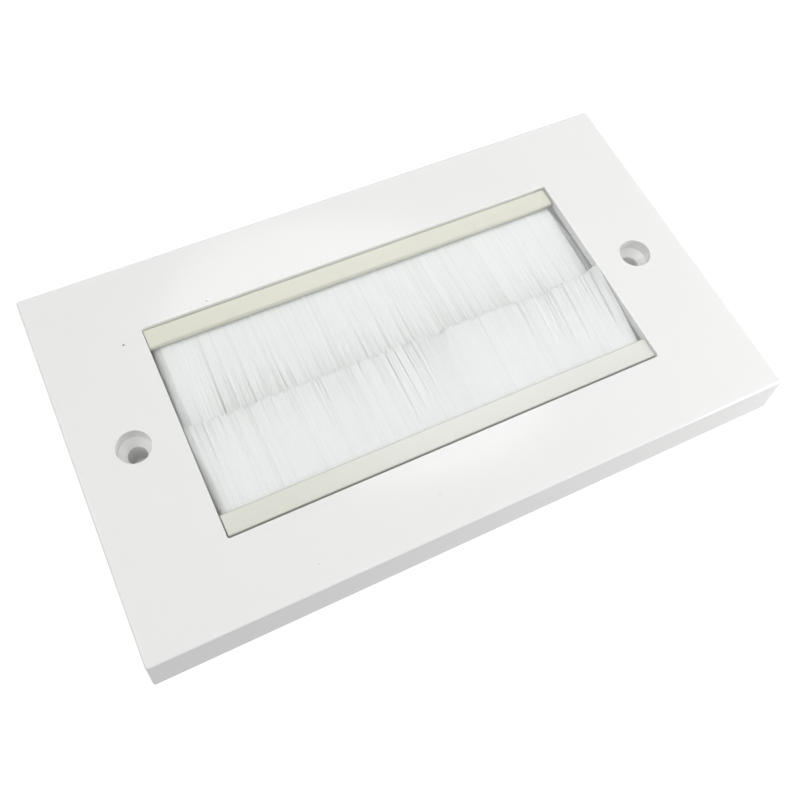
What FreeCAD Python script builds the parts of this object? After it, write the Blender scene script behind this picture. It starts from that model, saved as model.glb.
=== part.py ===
import FreeCAD, Part
import os

import Sketcher

# Brush cable grommet: a double-gang wall plate whose aperture is closed by two strip brushes.
# Frame: origin at the centre of the back rim, +X along the plate, +Y across it, +Z out of the face.

NEAR = 0.001  # tolerance for picking faces and edges by their place
GOLDEN = 0.618034  # step of the even but unordered run that trims the tufts

DIMENSIONS = [
    ("plate_length", 146.0, "long side of the back rim"),
    ("plate_width", 86.0, "short side of the back rim"),
    ("plate_depth", 11.0, "back rim to face"),
    ("wall_draft", 4.0, "lean of the skirt, degrees"),
    ("wall_thickness", 2.2, "face and skirt of the moulding"),
    ("corner_radius", 0.6, "upright corners of the skirt"),
    ("face_edge_radius", 0.5, "edge between face and skirt"),
    ("aperture_length", 100.4, "cable aperture along the plate"),
    ("aperture_width", 51.0, "cable aperture across the plate"),
    ("aperture_corner_radius", 0.5, "upright corners of the aperture"),
    ("aperture_edge_radius", 0.15, "edge between face and aperture"),
    ("fixing_centres", 120.6, "distance between the two fixing screws"),
    ("counterbore_diameter", 7.3, "straight mouth of the screw hole"),
    ("counterbore_depth", 3.0, "depth of the straight mouth"),
    ("countersink_angle", 90.0, "seat for the screw head, degrees"),
    ("screw_hole_diameter", 4.1, "clearance for the fixing screw"),
    ("boss_wall", 1.8, "wall of the screw boss round the counterbore"),
    ("rail_thickness", 1.6, "upright of the rail behind each long edge"),
    ("ledge_reach", 3.6, "shelf of the rail under the holder"),
    ("ledge_thickness", 1.4, "thickness of that shelf"),
    ("rib_thickness", 1.2, "stiffening ribs behind the face"),
    ("rib_spacing", 66.0, "distance between the two cross ribs of a side"),
    ("holder_width", 4.75, "brush holder across the plate"),
    ("holder_height", 5.4, "brush holder front to back"),
    ("holder_recess", 0.8, "top of the holder below the face"),
    ("upper_side_gap", 0.1, "upper holder to the aperture's long edge"),
    ("lower_side_gap", 0.7, "lower holder to the aperture's long edge"),
    ("holder_end_gap", 0.23, "holder to the aperture's short edge"),
    ("holder_wall", 0.8, "wall of the holder's channel"),
    ("holder_edge_radius", 0.4, "long outer edges of the holder"),
    ("mouth_lip_depth", 0.8, "lips that keep the strip in the holder"),
    ("mouth_lip_height", 0.3, "how far each lip stands into the mouth"),
    ("upper_shift", -0.08, "upper strip's play along the plate"),
    ("lower_shift", 0.1, "lower strip's play along the plate"),
    ("strip_setback", 0.5, "strip brush inside the holder's end"),
    ("channel_clearance", 0.05, "steel channel to the holder"),
    ("channel_sheet", 0.4, "sheet of the steel channel"),
    ("core_wire_diameter", 1.1, "wire that the filaments fold round"),
    ("parting_offset", 0.4, "line where the brushes meet, off centre"),
    ("tip_lap", 1.4, "how far the lower brush's tips lie over the upper one's"),
    ("tip_lap_gap", 0.1, "room front to back between the lapped tips"),
    ("tuft_pitch", 0.82, "tuft to tuft at the holder"),
    ("tuft_tip_gap", 0.22, "room between tufts at their tips"),
    ("tip_trim", 1.3, "most that a tuft falls short of the longest"),
    ("tip_slant", 0.35, "slant across one tuft's end"),
    ("tip_spread", 0.3, "outward lean of the end tufts"),
    ("tip_thickness", 3.4, "brush front to back at the tips"),
]

doc = FreeCAD.newDocument("brush_cable_grommet")
sizes = doc.addObject("Spreadsheet::Sheet", "sizes")
for row, (alias, number, note) in enumerate(DIMENSIONS, 1):
    sizes.set(f"A{row}", note)
    sizes.set(f"B{row}", str(number))
    sizes.setAlias(f"B{row}", alias)
doc.recompute()

# Sizes that follow from the sheet, as expressions
FACE_BACK = "(sizes.plate_depth - sizes.wall_thickness)"
FACE_MIDDLE = "(sizes.plate_depth - sizes.wall_thickness / 2)"
SKIRT_LEAN = "(sizes.plate_depth * tan(sizes.wall_draft * 1deg))"
SKIRT_MIDDLE_X = f"(sizes.plate_length / 2 - {SKIRT_LEAN} - sizes.wall_thickness / 2)"
SKIRT_MIDDLE_Y = f"(sizes.plate_width / 2 - {SKIRT_LEAN} - sizes.wall_thickness / 2)"
LEDGE_TOP = "(sizes.plate_depth - sizes.holder_recess - sizes.holder_height)"
LEDGE_BACK = f"({LEDGE_TOP} - sizes.ledge_thickness)"
RAIL_INSIDE = "(sizes.aperture_width / 2)"
RAIL_OUTSIDE = f"({RAIL_INSIDE} + sizes.rail_thickness)"
RAIL_MIDDLE = f"({RAIL_INSIDE} + sizes.rail_thickness / 2)"
BOSS_DIAMETER = "(sizes.counterbore_diameter + 2 * sizes.boss_wall)"
HOLDER_LENGTH = "(sizes.aperture_length - 2 * sizes.holder_end_gap)"
HOLDER_MIDDLE_Z = "(sizes.plate_depth - sizes.holder_recess - sizes.holder_height / 2)"
CAVITY_HEIGHT = "(sizes.holder_height - 2 * sizes.holder_wall)"
CAVITY_FRONT = "(sizes.holder_width - sizes.mouth_lip_depth)"
MOUTH_HEIGHT = f"({CAVITY_HEIGHT} - 2 * sizes.mouth_lip_height)"
STRIP_LENGTH = f"({HOLDER_LENGTH} - 2 * sizes.strip_setback)"
CHANNEL_BACK = "(sizes.holder_wall + sizes.channel_clearance)"
CHANNEL_FRONT = f"({CAVITY_FRONT} - sizes.channel_clearance)"
CHANNEL_HEIGHT = f"({CAVITY_HEIGHT} - 2 * sizes.channel_clearance)"
FOLD_BACK = f"({CHANNEL_BACK} + sizes.channel_sheet)"
PACK_THICKNESS = f"({CHANNEL_HEIGHT} - 2 * sizes.channel_sheet)"
WIRE_Y = f"({FOLD_BACK} + {PACK_THICKNESS} / 2)"


def value(expression):
    """The number that an expression on the sheet has now, in millimetres or degrees."""
    return float(sizes.evalExpression(expression))


def holder_back(side):
    """Expression for how far the back of a holder is from the middle of the plate."""
    return f"(sizes.aperture_width / 2 - sizes.{side}_side_gap)"


def origin_plane(body, role):
    return next(item for item in body.Origin.OriginFeatures if item.Role == role)


def new_sketch(body, name, role, offset=None):
    """A sketch on one of the body's own origin planes, moved along its normal by offset."""
    sketch = body.newObject("Sketcher::SketchObject", name)
    sketch.AttachmentSupport = [(origin_plane(body, role), "")]
    sketch.MapMode = "FlatFace"
    if offset:
        sketch.setExpression("AttachmentOffset.Base.z", offset)
    return sketch


def pin(sketch, geometry, end, across, up):
    """Hold one end of a sketched line, or a circle's centre, at two expressions."""
    for kind, expression in (("DistanceX", across), ("DistanceY", up)):
        constraint = Sketcher.Constraint(kind, -1, 1, geometry, end, value(expression))
        index = sketch.addConstraint(constraint)
        sketch.setExpression(f"Constraints[{index}]", expression)


def outline(sketch, corners):
    """A closed run of straight lines through corners, each a pair of expressions."""
    first = sketch.GeometryCount
    count = len(corners)
    points = [FreeCAD.Vector(value(across), value(up), 0) for across, up in corners]
    for n, point in enumerate(points):
        sketch.addGeometry(Part.LineSegment(point, points[(n + 1) % count]))
    for n in range(count):
        following = first + (n + 1) % count
        sketch.addConstraint(Sketcher.Constraint("Coincident", first + n, 2, following, 1))
    for n, (across, up) in enumerate(corners):
        pin(sketch, first + n, 1, across, up)


def rectangle(sketch, left, right, low, high):
    outline(sketch, [(left, low), (right, low), (right, high), (left, high)])


def circle(sketch, across, up, diameter):
    centre = FreeCAD.Vector(value(across), value(up), 0)
    upright = FreeCAD.Vector(0, 0, 1)
    ring = sketch.addGeometry(Part.Circle(centre, upright, value(diameter) / 2))
    pin(sketch, ring, 3, across, up)
    index = sketch.addConstraint(Sketcher.Constraint("Diameter", ring, value(diameter)))
    sketch.setExpression(f"Constraints[{index}]", diameter)


def pad(body, name, sketch, length, symmetric=False):
    feature = body.newObject("PartDesign::Pad", name)
    feature.Profile = sketch
    feature.setExpression("Length", length)
    if symmetric:
        feature.SideType = "Symmetric"
    doc.recompute()
    return feature


def names(feature, kind, keep):
    """Names of a feature's faces or edges that keep says yes to."""
    items = feature.Shape.Faces if kind == "Face" else feature.Shape.Edges
    return [f"{kind}{n}" for n, item in enumerate(items, 1) if keep(item)]


def round_edges(body, name, base, keep, radius):
    feature = body.newObject("PartDesign::Fillet", name)
    feature.Base = (base, names(base, "Edge", keep))
    feature.setExpression("Radius", radius)
    doc.recompute()
    return feature


def new_body(label):
    body = doc.addObject("PartDesign::Body", label)
    body.Label = label
    return body


def spans(edge, low, high):
    """Does the edge run from one height to the other?"""
    box = edge.BoundBox
    return abs(box.ZMin - low) < NEAR and abs(box.ZMax - high) < NEAR


def within_aperture(edge):
    box = edge.BoundBox
    along = max(-box.XMin, box.XMax) < value("sizes.aperture_length / 2") + NEAR
    return along and max(-box.YMin, box.YMax) < value("sizes.aperture_width / 2") + NEAR


# Faceplate: one hollow moulding
def make_faceplate():
    body = new_body("faceplate")
    depth = value("sizes.plate_depth")

    # Block with leaning sides, hollowed from the back
    sketch = new_sketch(body, "plate_outline", "XY_Plane")
    rectangle(
        sketch,
        "-sizes.plate_length / 2",
        "sizes.plate_length / 2",
        "-sizes.plate_width / 2",
        "sizes.plate_width / 2",
    )
    block = pad(body, "plate_block", sketch, "sizes.plate_depth")
    draft = body.newObject("PartDesign::Draft", "skirt_draft")
    draft.Base = (block, names(block, "Face", lambda face: abs(face.normalAt(0, 0).z) < NEAR))
    draft.NeutralPlane = (origin_plane(body, "XY_Plane"), [""])
    draft.Reversed = False
    draft.setExpression("Angle", "sizes.wall_draft")
    doc.recompute()
    shell = body.newObject("PartDesign::Thickness", "plate_shell")
    shell.Base = (draft, names(draft, "Face", lambda face: face.BoundBox.ZMax < NEAR))
    shell.setExpression("Value", "sizes.wall_thickness")
    shell.Join = "Intersection"
    shell.Reversed = True
    doc.recompute()
    corners = round_edges(
        body, "skirt_corners", shell, lambda edge: spans(edge, 0, depth), "sizes.corner_radius"
    )
    face_edge = round_edges(
        body, "face_edge", corners, lambda edge: spans(edge, depth, depth), "sizes.face_edge_radius"
    )

    # Cable aperture
    sketch = new_sketch(body, "aperture_outline", "XY_Plane")
    rectangle(
        sketch,
        "-sizes.aperture_length / 2",
        "sizes.aperture_length / 2",
        f"-{RAIL_INSIDE}",
        RAIL_INSIDE,
    )
    aperture = body.newObject("PartDesign::Pocket", "aperture")
    aperture.Profile = sketch
    aperture.Type = "ThroughAll"
    aperture.Reversed = True
    doc.recompute()
    if aperture.Shape.Volume > face_edge.Shape.Volume - NEAR:
        raise ValueError("the aperture cuts nothing")
    aperture_corners = round_edges(
        body,
        "aperture_corners",
        aperture,
        lambda edge: spans(edge, value(FACE_BACK), depth) and within_aperture(edge),
        "sizes.aperture_corner_radius",
    )
    round_edges(
        body,
        "aperture_edge",
        aperture_corners,
        lambda edge: spans(edge, depth, depth) and within_aperture(edge),
        "sizes.aperture_edge_radius",
    )

    # Rails that carry the brush holders, behind the aperture's long edges
    sketch = new_sketch(body, "rail_section", "YZ_Plane")
    outline(
        sketch,
        [
            (RAIL_INSIDE, FACE_BACK),
            (RAIL_INSIDE, LEDGE_TOP),
            (f"{RAIL_INSIDE} - sizes.ledge_reach", LEDGE_TOP),
            (f"{RAIL_INSIDE} - sizes.ledge_reach", LEDGE_BACK),
            (RAIL_OUTSIDE, LEDGE_BACK),
            (RAIL_OUTSIDE, FACE_BACK),
        ],
    )
    rail = pad(body, "rail", sketch, "sizes.aperture_length", symmetric=True)
    rails = body.newObject("PartDesign::Mirrored", "rails")
    rails.Originals = [rail]
    rails.MirrorPlane = (origin_plane(body, "XZ_Plane"), [""])
    body.Tip = rails
    doc.recompute()

    # Screw bosses down to the back rim, and the ribs behind the face
    sketch = new_sketch(body, "boss_places", "XY_Plane")
    for side in ("-", ""):
        circle(sketch, f"{side}sizes.fixing_centres / 2", "0", BOSS_DIAMETER)
    pad(body, "bosses", sketch, FACE_MIDDLE)
    sketch = new_sketch(body, "rib_places", "XY_Plane", LEDGE_BACK)
    for side in (-1, 1):
        for along in (-1, 1):
            middle = f"{along} * sizes.rib_spacing / 2"
            ends = [f"{side} * {RAIL_MIDDLE}", f"{side} * {SKIRT_MIDDLE_Y}"]
            rectangle(
                sketch,
                f"{middle} - sizes.rib_thickness / 2",
                f"{middle} + sizes.rib_thickness / 2",
                *ends,
            )
        rectangle(
            sketch,
            f"{side} * sizes.fixing_centres / 2",
            f"{side} * {SKIRT_MIDDLE_X}",
            "-sizes.rib_thickness / 2",
            "sizes.rib_thickness / 2",
        )
    ribs = pad(body, "ribs", sketch, f"{FACE_MIDDLE} - {LEDGE_BACK}")

    # Screw holes: straight mouth, countersunk seat and clearance hole
    sketch = new_sketch(body, "screw_places", "XY_Plane", "sizes.plate_depth")
    for side in ("-", ""):
        circle(sketch, f"{side}sizes.fixing_centres / 2", "0", "sizes.screw_hole_diameter")
    doc.recompute()
    hole = body.newObject("PartDesign::Hole", "screw_holes")
    hole.Profile = sketch
    doc.recompute()
    hole.DepthType = "ThroughAll"
    hole.HoleCutType = "Counterdrill"
    hole.setExpression("Diameter", "sizes.screw_hole_diameter")
    hole.setExpression("HoleCutDiameter", "sizes.counterbore_diameter")
    hole.setExpression("HoleCutDepth", "sizes.counterbore_depth")
    hole.setExpression("HoleCutCountersinkAngle", "sizes.countersink_angle")
    doc.recompute()
    if hole.Shape.Volume > ribs.Shape.Volume - NEAR:
        raise ValueError("the screw holes cut nothing")
    return body


# Brush strips: both are built in one local frame, with x along the holder, y from its back
# towards the middle of the aperture and z up from its middle, and the upper one is turned round
def place_strip(item, side):
    """Put a strip's piece at the aperture's upper or lower long edge."""
    upper = side == "upper"
    turn = FreeCAD.Rotation(FreeCAD.Vector(0, 0, 1), 180 if upper else 0)
    item.Placement = FreeCAD.Placement(FreeCAD.Vector(), turn)
    item.setExpression("Placement.Base.x", f"sizes.{side}_shift")
    item.setExpression("Placement.Base.y", holder_back(side) if upper else f"-{holder_back(side)}")
    item.setExpression("Placement.Base.z", HOLDER_MIDDLE_Z)


def make_holder(side):
    """Extruded plastic carrier with a lipped channel towards the aperture."""
    body = new_body(f"{side}_holder")
    half = "sizes.holder_height / 2"
    front = "sizes.holder_width"
    sketch = new_sketch(body, f"{side}_holder_section", "YZ_Plane")
    outline(
        sketch,
        [
            ("0", f"-{half}"),
            (front, f"-{half}"),
            (front, f"-{MOUTH_HEIGHT} / 2"),
            (CAVITY_FRONT, f"-{MOUTH_HEIGHT} / 2"),
            (CAVITY_FRONT, f"-{CAVITY_HEIGHT} / 2"),
            ("sizes.holder_wall", f"-{CAVITY_HEIGHT} / 2"),
            ("sizes.holder_wall", f"{CAVITY_HEIGHT} / 2"),
            (CAVITY_FRONT, f"{CAVITY_HEIGHT} / 2"),
            (CAVITY_FRONT, f"{MOUTH_HEIGHT} / 2"),
            (front, f"{MOUTH_HEIGHT} / 2"),
            (front, half),
            ("0", half),
        ],
    )
    bar = pad(body, f"{side}_holder_bar", sketch, HOLDER_LENGTH, symmetric=True)
    limit = value(half)
    round_edges(
        body,
        f"{side}_holder_edges",
        bar,
        lambda edge: edge.BoundBox.XLength > NEAR and abs(edge.BoundBox.Center.z) > limit - NEAR,
        "sizes.holder_edge_radius",
    )
    place_strip(body, side)
    return body


def make_channel(side):
    """Folded steel channel that grips the filaments, open towards the aperture."""
    body = new_body(f"{side}_channel")
    half = f"{CHANNEL_HEIGHT} / 2"
    inner = f"{PACK_THICKNESS} / 2"
    sketch = new_sketch(body, f"{side}_channel_section", "YZ_Plane")
    outline(
        sketch,
        [
            (CHANNEL_BACK, f"-{half}"),
            (CHANNEL_FRONT, f"-{half}"),
            (CHANNEL_FRONT, f"-{inner}"),
            (FOLD_BACK, f"-{inner}"),
            (FOLD_BACK, inner),
            (CHANNEL_FRONT, inner),
            (CHANNEL_FRONT, half),
            (CHANNEL_BACK, half),
        ],
    )
    pad(body, f"{side}_channel_bar", sketch, STRIP_LENGTH, symmetric=True)
    place_strip(body, side)
    return body


def make_core_wire(side):
    """Wire along the bottom of the channel, inside the fold of the filaments."""
    wire = doc.addObject("Part::Cylinder", f"{side}_core_wire")
    wire.Label = f"{side}_core_wire"
    wire.setExpression("Radius", "sizes.core_wire_diameter / 2")
    wire.setExpression("Height", STRIP_LENGTH)
    along = FreeCAD.Rotation(FreeCAD.Vector(0, 1, 0), 90)
    wire.Placement = FreeCAD.Placement(FreeCAD.Vector(), along)
    wire_y = f"({holder_back(side)} - {WIRE_Y})"
    wire.setExpression("Placement.Base.x", f"sizes.{side}_shift - {STRIP_LENGTH} / 2")
    wire.setExpression("Placement.Base.y", wire_y if side == "upper" else f"-{wire_y}")
    wire.setExpression("Placement.Base.z", HOLDER_MIDDLE_Z)
    return wire


def comb(side, root_half, mouth, reach):
    """Plan of one brush: a solid root, then tufts that part towards their uneven tips."""
    count = max(1, int(2 * root_half / value("sizes.tuft_pitch")))
    pitch = 2 * root_half / count
    spread = 1 + value("sizes.tip_spread") / root_half
    tip_half = (pitch * spread - value("sizes.tuft_tip_gap")) / 2
    start = 0.0 if side == "upper" else GOLDEN / 2
    back = value(FOLD_BACK)
    points = [(root_half, back), (-root_half, back)]
    for n in range(count):
        left = n * pitch - root_half
        middle = (left + pitch / 2) * spread
        shortfall = (start + n * GOLDEN) % 1 * value("sizes.tip_trim")
        lean = (start + n * GOLDEN * GOLDEN) % 1
        tip = mouth + reach - shortfall
        points.append((left, mouth))
        points.append((middle - tip_half, tip - lean * value("sizes.tip_slant")))
        points.append((middle + tip_half, tip - (1 - lean) * value("sizes.tip_slant")))
    points.append((root_half, mouth))
    corners = [FreeCAD.Vector(along, across, 0) for along, across in points]
    return Part.Face(Part.makePolygon(corners + corners[:1]))


def brush_section(side, mouth, reach):
    """Section of one brush: folded round the wire, level in the channel, thinned where it laps."""
    half = value(PACK_THICKNESS) / 2
    tip_half = value("sizes.tip_thickness") / 2
    lap_face = value("sizes.tip_lap_gap") / 2
    lap_start = mouth + reach - value("sizes.tip_lap")
    fold = value(WIRE_Y)
    tip = mouth + reach
    run = [(fold, half), (mouth, half), (tip, tip_half)]
    run += [(tip, lap_face), (lap_start, lap_face), (mouth, -half), (fold, -half)]
    over = 1 if side == "lower" else -1
    corners = [FreeCAD.Vector(0, across, over * up) for across, up in run]
    edges = [Part.LineSegment(a, b).toShape() for a, b in zip(corners, corners[1:])]
    bend = FreeCAD.Vector(0, fold - half, 0)
    edges.append(Part.Arc(corners[-1], bend, corners[0]).toShape())
    return Part.Face(Part.Wire(edges))


def make_bristles(side):
    """Curtain of filaments, drawn as close tufts with trimmed, uneven tips."""
    root_half = value(STRIP_LENGTH) / 2
    mouth = value("sizes.holder_width")
    towards = -1 if side == "upper" else 1
    parting = value(holder_back(side)) - mouth + towards * value("sizes.parting_offset")
    reach = parting + value("sizes.tip_lap") / 2
    tall = value("sizes.holder_height")
    wide = root_half + value("sizes.tip_spread")
    plan = comb(side, root_half, mouth, reach)
    plan.translate(FreeCAD.Vector(0, 0, -tall / 2))
    tufts = plan.extrude(FreeCAD.Vector(0, 0, tall))
    section = brush_section(side, mouth, reach)
    section.translate(FreeCAD.Vector(-wide, 0, 0))
    curtain = section.extrude(FreeCAD.Vector(2 * wide, 0, 0))
    wire_start = FreeCAD.Vector(-wide, value(WIRE_Y), 0)
    wire_radius = value("sizes.core_wire_diameter") / 2
    wire_room = Part.makeCylinder(wire_radius, 2 * wide, wire_start, FreeCAD.Vector(1, 0, 0))
    solids = tufts.common(curtain).cut(wire_room).Solids
    if len(solids) != 1:
        raise ValueError(f"the {side} brush isn't in one piece")
    brush = doc.addObject("Part::Feature", f"{side}_bristles")
    brush.Label = f"{side}_bristles"
    brush.Shape = solids[0]
    place_strip(brush, side)
    return brush


sub_parts = [make_faceplate()]
for edge_side in ("upper", "lower"):
    sub_parts.append(make_holder(edge_side))
    sub_parts.append(make_channel(edge_side))
    sub_parts.append(make_core_wire(edge_side))
    sub_parts.append(make_bristles(edge_side))
doc.recompute()

for item in doc.Objects:
    if "Invalid" in item.State or "Error" in item.State:
        raise RuntimeError(f"{item.Label} failed: {item.State}")
for item in sub_parts:
    if item.Shape.isNull() or not item.Shape.isValid() or len(item.Shape.Solids) != 1:
        raise RuntimeError(f"{item.Label} isn't one valid solid")

os.makedirs("parts", exist_ok=True)
for item in sub_parts:
    item.Shape.exportStep(f"parts/{item.Label}.step")
    print(item.Label, "volume", round(item.Shape.Volume, 2))
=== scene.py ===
import math
import random

import bpy
from mathutils import Matrix, Vector, noise


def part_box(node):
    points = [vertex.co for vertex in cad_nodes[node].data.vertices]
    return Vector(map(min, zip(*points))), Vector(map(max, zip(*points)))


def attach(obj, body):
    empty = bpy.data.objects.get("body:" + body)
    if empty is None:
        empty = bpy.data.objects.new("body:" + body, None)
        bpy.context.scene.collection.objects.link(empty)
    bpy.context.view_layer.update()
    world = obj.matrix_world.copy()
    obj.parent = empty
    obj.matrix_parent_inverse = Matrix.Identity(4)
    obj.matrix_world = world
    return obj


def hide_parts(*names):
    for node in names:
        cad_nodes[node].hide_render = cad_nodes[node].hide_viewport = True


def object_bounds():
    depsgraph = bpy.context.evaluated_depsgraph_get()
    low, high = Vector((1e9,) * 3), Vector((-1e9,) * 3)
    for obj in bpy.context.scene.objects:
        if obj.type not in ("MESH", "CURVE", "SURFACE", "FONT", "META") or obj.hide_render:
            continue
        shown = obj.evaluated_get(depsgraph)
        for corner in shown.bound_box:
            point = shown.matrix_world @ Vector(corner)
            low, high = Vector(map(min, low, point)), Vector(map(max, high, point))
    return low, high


# Looks of the brush cable grommet: a glossy white wall plate lying face up on a white table,
# with two strips of nylon filaments that meet across its aperture. Lengths are in metres, apart
# from those that a comment gives in millimetres.

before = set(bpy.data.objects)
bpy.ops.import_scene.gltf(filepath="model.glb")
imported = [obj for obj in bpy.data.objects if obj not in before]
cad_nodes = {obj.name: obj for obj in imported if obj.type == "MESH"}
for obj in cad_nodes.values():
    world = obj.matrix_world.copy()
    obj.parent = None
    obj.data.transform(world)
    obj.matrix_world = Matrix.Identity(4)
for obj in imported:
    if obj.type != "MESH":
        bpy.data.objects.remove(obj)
cad_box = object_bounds()

MM = 0.001
FACE_HEIGHT = cad_box[1].z

# Camera, fitted to the photograph's view of the plate
CAMERA_PLACE = Vector((-53.68, -80.88, 178.01)) * MM
CAMERA_AIM = Vector((-6.86, -12.18, 11.00)) * MM
CAMERA_ROLL = math.radians(9.36)
CAMERA_LENS = 39.98  # millimetres
SENSOR_WIDTH = 36.0  # millimetres

# Light: the plate lies in a pale room, under one round lamp that its face mirrors
AMBIENT = 0.22  # radiance of the room for what it lights; seen directly it is white
# The round lamp hangs level: place and widths in millimetres, turn about the vertical in degrees
ROUND_LAMP = {"place": (127, 257, 510), "widths": (350, 262), "turn": 147, "watts": 0.40}
# The other lamps face the plate: name, place and width in millimetres, and watts
LAMPS = [
    ("back_lamp", (100, 820, 520), 500, 0.76),
    ("right_lamp", (420, -100, 400), 240, 0.96),
    ("front_lamp", (-300, -440, 990), 900, 4.55),
    ("left_lamp", (-780, 240, 790), 900, 3.5),
    ("low_fill", (215, -215, 50), 120, 0.39),
]
UNMIRRORED = "front_lamp"  # so diffuse that its outline shows in no glossy surface

# The table is white round the plate, and softly lit where the plate covers it
TABLE_SIZE = 6.0
TABLE_WHITE = 0.05  # share of the lamps' light that it throws back round the plate
COVERED_WHITE = 0.2  # and under it
TABLE_GLOW = 0.97  # lifts it to white round the plate, for the camera and in reflections
COVERED_GLOW = 0.24  # stands for the light that comes in under the plate
RIM_WIDTH = 2 * MM  # of the plate's back, which hides where one goes over into the other

# Dirt specks on the face: place along and across the plate, and radius, in millimetres
SPECKS = [(-54.8, 23.1, 0.35), (-35.1, 26.6, 0.2), (-8.7, -34.4, 0.13), (-36.3, -37.3, 0.13)]
SPECK_CORE = 0.4  # share of a speck's radius where it is darkest
SPECK_COVER = 0.8

# Holders: name of the plastic, and its colours at the left and at the right; the paler right one is
# partly painted sheen
HOLDER_PLASTICS = {
    "upper": ("cream_extrusion", (0.675, 0.68, 0.585, 1), (0.70, 0.705, 0.615, 1)),
    "lower": ("pale_cream_extrusion_and_sheen", (0.685, 0.695, 0.62, 1), (0.745, 0.75, 0.705, 1)),
}
SHEEN_SPAN = (-40 * MM, 5 * MM)  # where along a holder the left colour goes over into the paler right one, a painted sheen
LIP_WIDTH = 0.55 * MM  # of the painted shade on the lip's edge beside the filaments
LIP_SHADE = 0.14

# Nylon of the filaments; the dark colour stands for darker tone and painted shade
NYLON_PALE = (0.86, 0.875, 0.872, 1)
NYLON_DARK = (0.61, 0.62, 0.59, 1)
ROOT_FADE = 0.56  # how much of a dark streak is gone
ROOT_FADE_LENGTH = 10 * MM  # at this distance from the tips
END_PAINTED_SHADE = 0.9  # painted shade at the strips' left ends, beside the aperture's wall
END_BAND, END_BAND_GROWTH = 0.7, 2.0  # width of that painted shade at the tips and what the roots add, millimetres
END_BAND_RAMP = (3 * MM, 16 * MM)  # distances from the tips between which it is added

# Filaments
FILAMENTS = 9600  # in each strip
LAYERS = 8  # front to back, as the filaments leave the holder
FILAMENT_RADIUS = 0.07 * MM
BEVEL_SIDES = 4  # of a filament's mesh
ROOT_PLACE = (0.3, 0.7)  # where a filament may stand in its share of the strip's length
LAYER_PLACE = (0.4, 0.6)  # and in its share of the thickness
STRIP_SEEDS = {"upper": 11, "lower": 29}
TIP_SEED = 3
NOISE_ROW = 7.31  # between the rows of the noise that two seeds use
NOISE_HEIGHT = 0.37  # of all those rows
PACK_HALF = 1.2 * MM  # half thickness of the filament pack at the holder's mouth
TIP_HALF = 0.62 * MM  # half thickness of a strip at its tips
FOLD_SPREAD = 0.5 * MM  # room that the folded filaments take round the wire
TIP_RISE = {"upper": -0.7 * MM, "lower": 0.6 * MM}  # the lower strip's tips lie over the upper's
PARTING = 0.95  # millimetres across the plate where the lower strip's tips end
LAP = 1.6  # how far the upper strip's tips go under them, in millimetres
NOTCHES = [(7.6, 1.3, 1.6), (33.0, 1.2, 3.5)]  # place, depth and width in millimetres
APERTURE_HALF = 50.2 * MM
WALL_GAP = 0.12 * MM  # kept between the filaments and the aperture's end walls
WALL_DEPTH = 2.4 * MM  # of those walls; the plate is hollow behind them
BEHIND_WALL = 1.3 * MM  # how much farther the filaments go behind the walls
OVER_WALL = 0.8  # and over them, for their height above the face
# Slow drifts along a strip: amount in millimetres, and wave
LEAN_DRIFT, LEAN_WAVE = 0.12, 4 * MM
CUT_DRIFT, CUT_WAVE = 0.2, 1.5 * MM
TIP_DRIFT, TIP_WAVE = 0.25, 7 * MM
# Scatter from filament to filament, in millimetres
LEAN_SCATTER, CUT_SCATTER, HEIGHT_SCATTER = 0.02, 0.36, 0.015
# How far tips lean along the plate at places along it, in millimetres
LEANS = {
    "upper": [(-49, 0.1), (-40, -0.7), (-24, 0.5), (-15, -0.4), (15, 0.7), (33, 0.9), (49, 0.3)],
    "lower": [
        (-49, -0.4), (-45, 0.0), (-4, 0.0), (1, -0.5), (6, 1.0), (26, 0.7), (31, 1.6), (49, 1.4),
    ],
}
# How a strip's ends differ from its middle, in millimetres: how far the filaments of its last few
# millimetres fan out, how far in the pack is thinner at the mouth and at the tips, and how far the
# tips rise over what length. A low spread parts the fan from the pack, a low bend starts it early
ENDS = {
    ("upper", "left"): {
        "fan": 1.0, "fan_reach": 1.2, "spread": 1.0, "bend": 0.3,
        "mouth_round": 2.8, "tip_round": 1.0, "rise": 0.3, "rise_length": 1.5,
    },
    ("upper", "right"): {
        "fan": 2.5, "fan_reach": 0.3, "spread": 0.3, "bend": 0.8,
        "mouth_round": 1.0, "tip_round": 1.2, "rise": -0.2, "rise_length": 0.9,
    },
    ("lower", "left"): {
        "fan": 1.3, "fan_reach": 1.2, "spread": 1.0, "bend": 0.3,
        "mouth_round": 3.4, "tip_round": 1.0, "rise": 0.3, "rise_length": 1.5,
    },
    ("lower", "right"): {
        "fan": 0.8, "fan_reach": 1.2, "spread": 1.0, "bend": 0.8,
        "mouth_round": 1.4, "tip_round": 1.5, "rise": 2.6, "rise_length": 3.2,
    },
}
END_CURVE = 0.98  # how round a pack's ends are; 1 would bring them down to no thickness
FRONT_FAN_LOSS = 0.6  # how much less the front filaments fan out than the middle ones
# Points of a filament from the mouth to the tip, as shares of that length
STRAIGHT_POINTS = (0.0, 1.0)
FANNED_POINTS = (0.0, 0.12, 0.45, 1.0)
# Where a strip's front filaments stand apart at their tips: place and half gap in millimetres
GAPS = {
    "upper": [
        (-40.7, 0.07), (-38.5, 0.05), (-30.9, 0.06), (-26.7, 0.06), (-24.4, 0.06), (-7.7, 0.08),
        (3.5, 0.06),
    ],
    "lower": [
        (-46.1, 0.07), (-19.8, 0.05), (-4.3, 0.1), (-2.1, 0.1), (-0.1, 0.1), (2.1, 0.07),
        (6.1, 0.06), (44.6, 0.04), (46.7, 0.05), (48.2, 0.045),
    ],
}
GAP_SIDE = 0.45 * MM  # how far from a gap the filaments make way
GAP_LAYERS = 0.3  # how far behind the middle layer they still do, as a share of half the pack
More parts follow.
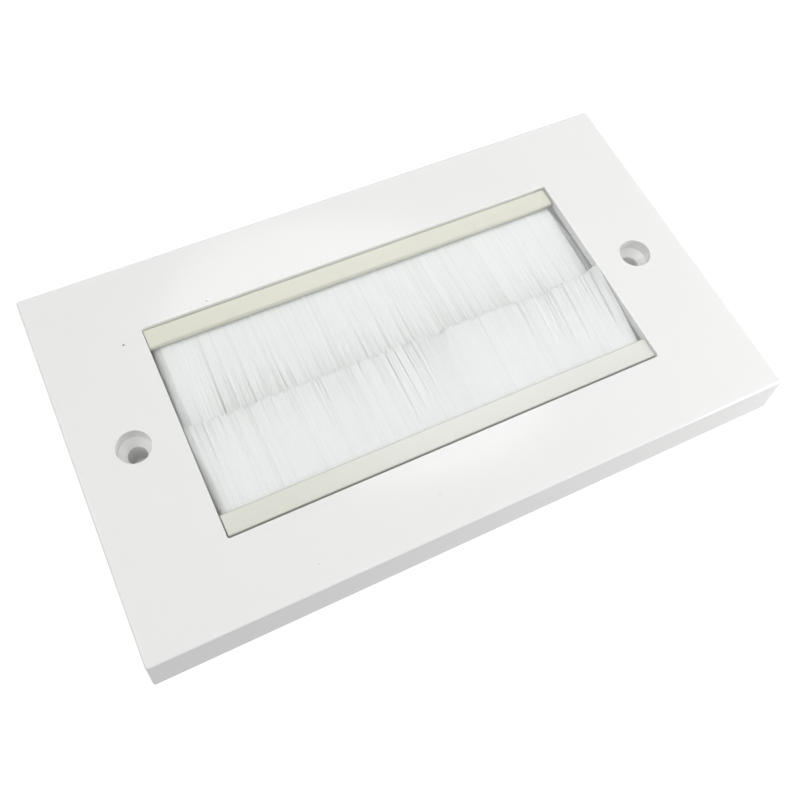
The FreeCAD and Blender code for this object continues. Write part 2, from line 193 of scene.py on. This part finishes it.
# How dark single filaments look, by tone and painted shade: broad and fine streaks, and each one's own
# share
BROAD_WAVE, FINE_WAVE = 0.4 * MM, 0.17 * MM
BROAD_WEIGHT, FINE_WEIGHT, OWN_WEIGHT = 0.9, 0.5, 0.15
BROAD_POWER = 1.5  # above 1 for few dark streaks among many pale ones
STRIP_SHADE = {"upper": 1.25, "lower": 0.9}  # strength of the streaks at the left; the upper strip's higher one is painted shade
SHADE_FALL = 0.5  # how much weaker they are at the right, painted light from that side


class Socket:
    """An output of a shader node. Arithmetic on it adds Math nodes to its tree."""

    def __init__(self, tree, output):
        self.tree = tree
        self.output = output

    def __add__(self, other):
        return self.tree.math("ADD", self, other)

    def __radd__(self, other):
        return self.tree.math("ADD", other, self)

    def __sub__(self, other):
        return self.tree.math("SUBTRACT", self, other)

    def __rsub__(self, other):
        return self.tree.math("SUBTRACT", other, self)

    def __mul__(self, other):
        return self.tree.math("MULTIPLY", self, other)

    def __rmul__(self, other):
        return self.tree.math("MULTIPLY", other, self)


class Tree:
    """A node tree that is filled by calls."""

    def __init__(self, owner):
        owner.use_nodes = True
        self.links = owner.node_tree.links
        self.nodes = owner.node_tree.nodes

    def node(self, kind, settings=None, inputs=None, output=0):
        made = self.nodes.new("ShaderNode" + kind)
        for setting, choice in (settings or {}).items():
            setattr(made, setting, choice)
        for socket, fed in (inputs or {}).items():
            self.feed(made.inputs[socket], fed)
        return Socket(self, made.outputs[output])

    def feed(self, socket, fed):
        if isinstance(fed, Socket):
            self.links.new(fed.output, socket)
        else:
            socket.default_value = fed

    def math(self, operation, *fed):
        return self.node("Math", {"operation": operation}, dict(enumerate(fed)))

    def blend(self, share, first, second):
        """A colour that goes from first to second as share goes from 0 to 1."""
        return self.node("Mix", {"data_type": "RGBA"}, {0: share, 6: first, 7: second}, output=2)

    def place(self, stretch=(1, 1, 1)):
        """Object coordinates in metres, with each axis times its stretch."""
        place = self.node("TexCoord", output="Object")
        return self.node("Mapping", inputs={"Vector": place, "Scale": stretch})

    def axis(self, letter, place):
        """One coordinate of a place."""
        return self.node("SeparateXYZ", inputs={0: place}, output=letter)

    def grain(self, place, size, detail=2.0):
        """Soft noise from 0 to 1 whose blotches are about that size across."""
        return self.node("TexNoise", inputs={"Vector": place, "Scale": 1 / size, "Detail": detail})

    def ramp(self, amount, low, high):
        """0 below low, 1 above high, and smooth between them."""
        inputs = {"Value": amount, "From Min": low, "From Max": high}
        return self.node("MapRange", {"interpolation_type": "SMOOTHSTEP"}, inputs)

    def bump(self, height, depth):
        return self.node("Bump", inputs={"Height": height, "Distance": depth})


class Finish(Tree):
    """A material with one Principled shader."""

    def __init__(self, name, **constants):
        self.material = bpy.data.materials.new(name)
        super().__init__(self.material)
        self.shader = self.nodes["Principled BSDF"]
        self.surface(**constants)

    def surface(self, **fed):
        for socket, value in fed.items():
            self.feed(self.shader.inputs[socket.replace("_", " ")], value)
        return self.material


def grey(level, warmth=0.0):
    """A near-white colour; warmth above 0 is yellower, below 0 bluer."""
    return (level * (1 + warmth * 0.3), level, level * (1 - warmth), 1)


def plate_finish():
    """Glossy moulded plastic with a faint ripple and a few specks of dust."""
    finish = Finish("glossy_white_plate", IOR=1.5)
    place = finish.place()
    cloud = finish.grain(place, size=28 * MM, detail=3)
    haze = finish.grain(place, size=3 * MM, detail=4)
    ripple = finish.grain(place, size=1.6 * MM, detail=1)
    plastic = finish.blend(cloud, grey(0.795, warmth=0.008), grey(0.82, warmth=0.004))
    dirt = 0.0
    for along, across, radius in SPECKS:
        spot = (along * MM, across * MM, FACE_HEIGHT)
        away = finish.node("VectorMath", {"operation": "DISTANCE"}, {0: place, 1: spot}, "Value")
        dirt = dirt + (1 - finish.ramp(away, SPECK_CORE * radius * MM, radius * MM))
    return finish.surface(
        Base_Color=finish.blend(dirt * SPECK_COVER, plastic, grey(0.12, warmth=0.2)),
        Roughness=0.06 + 0.04 * haze,
        Normal=finish.bump(ripple, depth=0.003 * MM),
    )


def holder_finish(side):
    """Cream extruded plastic, satin, with fine lines, paler towards the right by a painted sheen, and
    painted shade on the lip.
    """
    name, left, right = HOLDER_PLASTICS[side]
    finish = Finish(name, IOR=1.5)
    place = finish.place()
    lines = finish.grain(finish.place((0.02, 1, 1)), size=0.25 * MM, detail=3)
    cloud = finish.grain(finish.place((0.3, 1, 1)), size=9 * MM)
    # Paler towards the right: painted sheen
    colour = finish.blend(finish.ramp(finish.axis("X", place), *SHEEN_SPAN), left, right)
    from_middle = finish.math("ABSOLUTE", finish.axis("Y", place))
    lip = min(abs(corner.y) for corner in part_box(f"{side}_holder"))
    # Painted shade on the lip's face beside the filaments
    edge = 1 - finish.ramp(from_middle, lip, lip + LIP_WIDTH)
    tone = (0.95 + 0.06 * lines + 0.02 * cloud) * (1 - LIP_SHADE * edge)
    return finish.surface(
        Base_Color=finish.node("VectorMath", {"operation": "SCALE"}, {0: colour, "Scale": tone}),
        Roughness=0.26 + 0.12 * lines,
        Normal=finish.bump(lines, depth=0.006 * MM),
    )


def steel_finish():
    """Zinc-coated strip steel."""
    finish = Finish("zinc_coated_steel", Metallic=1.0)
    spangle = finish.grain(finish.place(), size=1.2 * MM, detail=5)
    lines = finish.grain(finish.place((0.03, 1, 1)), size=0.12 * MM)
    return finish.surface(
        Base_Color=finish.blend(spangle, (0.52, 0.54, 0.56, 1), (0.66, 0.68, 0.69, 1)),
        Roughness=0.28 + 0.16 * spangle,
        Normal=finish.bump(lines, depth=0.003 * MM),
    )


def filament_finish():
    """Clear white nylon, darkened by streaks of tone and painted shade, most at the tips, and by
    painted shade at the left ends.
    """
    finish = Finish("white_nylon", IOR=1.53)
    place = finish.place()
    from_tips = finish.math("ABSOLUTE", finish.axis("Y", place) - PARTING * MM)
    streaks = finish.node("Attribute", {"attribute_name": "shade"}, output="Fac")
    streaks = streaks * (1 - ROOT_FADE * finish.ramp(from_tips, 0, ROOT_FADE_LENGTH))
    # Painted shade beside the aperture's left wall, wider towards the roots
    band = (END_BAND + END_BAND_GROWTH * finish.ramp(from_tips, *END_BAND_RAMP)) * MM
    painted_end_shade = 1 - finish.ramp(finish.axis("X", place), -APERTURE_HALF, band - APERTURE_HALF)
    shade = streaks + END_PAINTED_SHADE * painted_end_shade
    return finish.surface(
        Base_Color=finish.blend(shade, NYLON_PALE, NYLON_DARK),
        Roughness=0.3 + 0.1 * shade,
    )


def wander(along, wave, seed):
    """A slow drift between about -1 and 1 along a strip."""
    return noise.noise(Vector((along / wave, seed * NOISE_ROW, NOISE_HEIGHT)))


def between(knots, along):
    """The value at a place, on straight lines between (place, value) knots."""
    for (left, low), (right, high) in zip(knots, knots[1:]):
        if along <= right:
            share = max(0.0, (along - left) / (right - left))
            return low + (high - low) * share
    return knots[-1][1]


def strip_facts(side):
    """Where a strip's filaments start and end, from the solids that hold them."""
    holder_lo, holder_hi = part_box(f"{side}_holder")
    wire_lo, wire_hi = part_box(f"{side}_core_wire")
    pack_lo, pack_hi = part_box(f"{side}_bristles")
    upper = side == "upper"
    return {
        "left": pack_lo.x + FILAMENT_RADIUS,
        "right": pack_hi.x - FILAMENT_RADIUS,
        "mouth": holder_lo.y if upper else holder_hi.y,
        "fold": wire_hi.y if upper else wire_lo.y,
        "middle": (wire_lo.z + wire_hi.z) / 2,
        "wire_radius": (wire_hi.z - wire_lo.z) / 2,
    }


def tip_line(side, along):
    """Place across the plate where a strip's tips end, before each filament's own trim."""
    if side == "upper":
        return (PARTING - LAP) * MM
    line = PARTING + TIP_DRIFT * wander(along, TIP_WAVE, TIP_SEED)
    for place, depth, width in NOTCHES:
        line -= depth * math.exp(-((along / MM - place) / width) ** 2)
    return line * MM


def clear_of_walls(along, height):
    """The place along the plate, held off the aperture's end walls but free behind and over them."""
    limit = APERTURE_HALF - WALL_GAP - FILAMENT_RADIUS
    if height < FACE_HEIGHT - WALL_DEPTH:
        limit += BEHIND_WALL
    limit += OVER_WALL * max(0.0, height - FACE_HEIGHT)
    return max(-limit, min(limit, along))


def make_way(side, foot, layer):
    """How far a front filament's tip stands aside for the gaps near it."""
    aside = 0.0
    for place, half_gap in GAPS[side]:
        off = foot - place * MM
        aside += math.copysign(half_gap * MM * math.exp(-abs(off) / GAP_SIDE), off)
    return aside * max(0.0, min(1.0, layer + GAP_LAYERS))


def end_roundness(from_end, reach):
    """Share of its thickness that the pack has at a distance from its end."""
    return math.sqrt(1 - max(0.0, END_CURVE - from_end / reach) ** 2)


def filament_path(side, strip, layer, root, rng):
    """The places a filament passes: its fold, the holder's mouth and its tip, and bends of a fan."""
    inward = -1 if side == "upper" else 1
    seed = STRIP_SEEDS[side]
    outward = -1 if root - strip["left"] < strip["right"] - root else 1
    end = ENDS[side, "left" if outward < 0 else "right"]
    from_end = min(root - strip["left"], strip["right"] - root)

    drift = LEAN_DRIFT * wander(root, LEAN_WAVE, seed)
    lean = (between(LEANS[side], root / MM) + drift + rng.gauss(0, LEAN_SCATTER)) * MM
    lean += make_way(side, root + lean, layer)
    cut = (CUT_DRIFT * wander(root, CUT_WAVE, seed + 1) - abs(rng.gauss(0, CUT_SCATTER))) * MM
    mouth = strip["mouth"]
    reach = tip_line(side, root) + inward * cut - mouth

    low = PACK_HALF * layer * end_roundness(from_end, end["mouth_round"] * MM)
    high = TIP_RISE[side] + TIP_HALF * layer * end_roundness(from_end, end["tip_round"] * MM)
    rise = end["rise"] * math.exp(-((from_end / MM / end["rise_length"]) ** 2))
    high += (rise + rng.gauss(0, HEIGHT_SCATTER)) * MM

    fan = 0.0
    shares = STRAIGHT_POINTS
    if from_end < end["fan_reach"] * MM:
        loose = (1 - from_end / MM / end["fan_reach"]) ** end["spread"]
        fan = outward * end["fan"] * MM * (1 - FRONT_FAN_LOSS * layer) * loose
        shares = FANNED_POINTS

    behind = strip["wire_radius"] + FILAMENT_RADIUS + abs(layer) * FOLD_SPREAD
    path = [(root, strip["fold"], strip["middle"] + math.copysign(behind, layer))]
    for share in shares:
        height = strip["middle"] + low + (high - low) * share
        along = root + lean * share + fan * share ** end["bend"]
        path.append((clear_of_walls(along, height), mouth + reach * share, height))
    return path


def filament_shade(side, root, share, rng):
    """How dark a filament looks, by random tone and painted shade; share is its place along the strip.
    """
    seed = STRIP_SEEDS[side]
    broad = max(0.0, wander(root, BROAD_WAVE, seed + 2)) ** BROAD_POWER
    fine = max(0.0, wander(root, FINE_WAVE, seed + 3))
    streak = BROAD_WEIGHT * broad + FINE_WEIGHT * fine + OWN_WEIGHT * rng.random()
    return streak * (STRIP_SHADE[side] - SHADE_FALL * share)


def mesh_of(curve, name):
    """The mesh of a curve, which is removed."""
    strands = bpy.data.objects.new(name, curve)
    bpy.context.scene.collection.objects.link(strands)
    graph = bpy.context.evaluated_depsgraph_get()
    mesh = bpy.data.meshes.new_from_object(strands.evaluated_get(graph))
    bpy.data.objects.remove(strands)
    bpy.data.curves.remove(curve)
    return mesh


def lay_filaments(side):
    """One strip's filaments, as one piece that stands for the CAD's bristles."""
    rng = random.Random(STRIP_SEEDS[side])
    strip = strip_facts(side)
    length = strip["right"] - strip["left"]
    curve = bpy.data.curves.new(f"{side}_filaments", "CURVE")
    curve.dimensions = "3D"
    curve.bevel_depth = FILAMENT_RADIUS
    curve.bevel_resolution = 0
    curve.use_fill_caps = True
    shades = []
    side_shades = []
    for n in range(FILAMENTS):
        share = (n // LAYERS + rng.uniform(*ROOT_PLACE)) / (FILAMENTS // LAYERS)
        root = strip["left"] + share * length
        layer = 2 * (n % LAYERS + rng.uniform(*LAYER_PLACE)) / LAYERS - 1
        path = filament_path(side, strip, layer, root, rng)
        spline = curve.splines.new("POLY")
        spline.points.add(len(path) - 1)
        for point, place in zip(spline.points, path):
            point.co = (*place, 1)
        shades.append(filament_shade(side, root, share, rng))
        side_shades += [shades[-1]] * (BEVEL_SIDES * len(path))
    mesh = mesh_of(curve, f"{side}_strands")
    # The mesh lists the end faces' vertices first, from the last filament to the first
    end_shades = [shade for shade in reversed(shades) for _ in range(2 * BEVEL_SIDES)]
    shading = mesh.attributes.new("shade", "FLOAT", "POINT")
    shading.data.foreach_set("value", end_shades + side_shades)
    mesh.shade_smooth()
    piece = bpy.data.objects.new(f"{side}_filaments", mesh)
    bpy.context.scene.collection.objects.link(piece)
    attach(piece, "root")
    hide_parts(f"{side}_bristles")
    return piece


def place_camera():
    camera = bpy.data.objects.new("camera", bpy.data.cameras.new("camera"))
    camera.data.lens = CAMERA_LENS
    camera.data.sensor_width = SENSOR_WIDTH
    camera.data.clip_start = 10 * MM
    facing = (CAMERA_AIM - CAMERA_PLACE).to_track_quat("-Z", "Y").to_matrix().to_4x4()
    roll = Matrix.Rotation(CAMERA_ROLL, 4, "Z")
    camera.matrix_world = Matrix.Translation(CAMERA_PLACE) @ facing @ roll
    bpy.context.scene.collection.objects.link(camera)
    bpy.context.scene.camera = camera


def hang_lamp(name, place, widths, watts, facing):
    lamp = bpy.data.lights.new(name, "AREA")
    lamp.shape = "ELLIPSE"
    lamp.size, lamp.size_y = (width * MM for width in widths)
    lamp.energy = watts
    fixture = bpy.data.objects.new(name, lamp)
    fixture.matrix_world = Matrix.Translation(Vector(place) * MM) @ facing
    fixture.visible_glossy = name != UNMIRRORED
    bpy.context.scene.collection.objects.link(fixture)


def hang_lamps():
    level = Matrix.Rotation(math.radians(ROUND_LAMP["turn"]), 4, "Z")
    hang_lamp("round_lamp", ROUND_LAMP["place"], ROUND_LAMP["widths"], ROUND_LAMP["watts"], level)
    for name, place, width, watts in LAMPS:
        facing = (-Vector(place)).to_track_quat("-Z", "Y").to_matrix().to_4x4()
        hang_lamp(name, place, (width, width), watts, facing)


def seen_directly(tree):
    """1 for rays from the camera, a mirror or a glass, 0 for light that falls on a surface."""
    path = ("Is Camera Ray", "Is Glossy Ray", "Is Transmission Ray")
    camera, glossy, through = (tree.node("LightPath", output=name) for name in path)
    return camera + glossy + through


def build_room():
    """A world that is white where it is seen, and pale for what it lights."""
    world = bpy.data.worlds.new("white_room")
    bpy.context.scene.world = world
    tree = Tree(world)
    background = tree.nodes["Background"]
    tree.feed(background.inputs["Strength"], AMBIENT + (1 - AMBIENT) * seen_directly(tree))
    tree.feed(background.inputs["Color"], grey(1))


def lay_table():
    finish = Finish("white_table", Roughness=0.9, Emission_Strength=1.0)
    from_middle = finish.node("VectorMath", {"operation": "ABSOLUTE"}, {0: finish.place()})
    past_rim = []
    for axis, edge in (("X", cad_box[1].x), ("Y", cad_box[1].y)):
        away = finish.axis(axis, from_middle)
        past_rim.append(finish.ramp(away, edge - RIM_WIDTH, edge - RIM_WIDTH / 4))
    outside = finish.math("MAXIMUM", *past_rim)
    glow = finish.blend(seen_directly(finish), grey(0), grey(TABLE_GLOW))
    finish.surface(
        Base_Color=finish.blend(outside, grey(COVERED_WHITE), grey(TABLE_WHITE)),
        Emission_Color=finish.blend(outside, grey(COVERED_GLOW), glow),
    )
    bpy.ops.mesh.primitive_plane_add(size=TABLE_SIZE)
    table = bpy.context.object
    table.name = "table"
    table.data.materials.append(finish.material)


steel = steel_finish()
CAD_FINISHES = {
    "faceplate": plate_finish(),
    "upper_holder": holder_finish("upper"),
    "lower_holder": holder_finish("lower"),
    "channel": steel,
    "wire": steel,
}
for node_name, node in cad_nodes.items():
    for ending, material in CAD_FINISHES.items():
        if node_name.endswith(ending):
            node.material_slots[0].material = material

nylon = filament_finish()
for strip_side in ("upper", "lower"):
    lay_filaments(strip_side).data.materials.append(nylon)

place_camera()
hang_lamps()
build_room()
lay_table()
bpy.context.scene.view_settings.view_transform = "Standard"
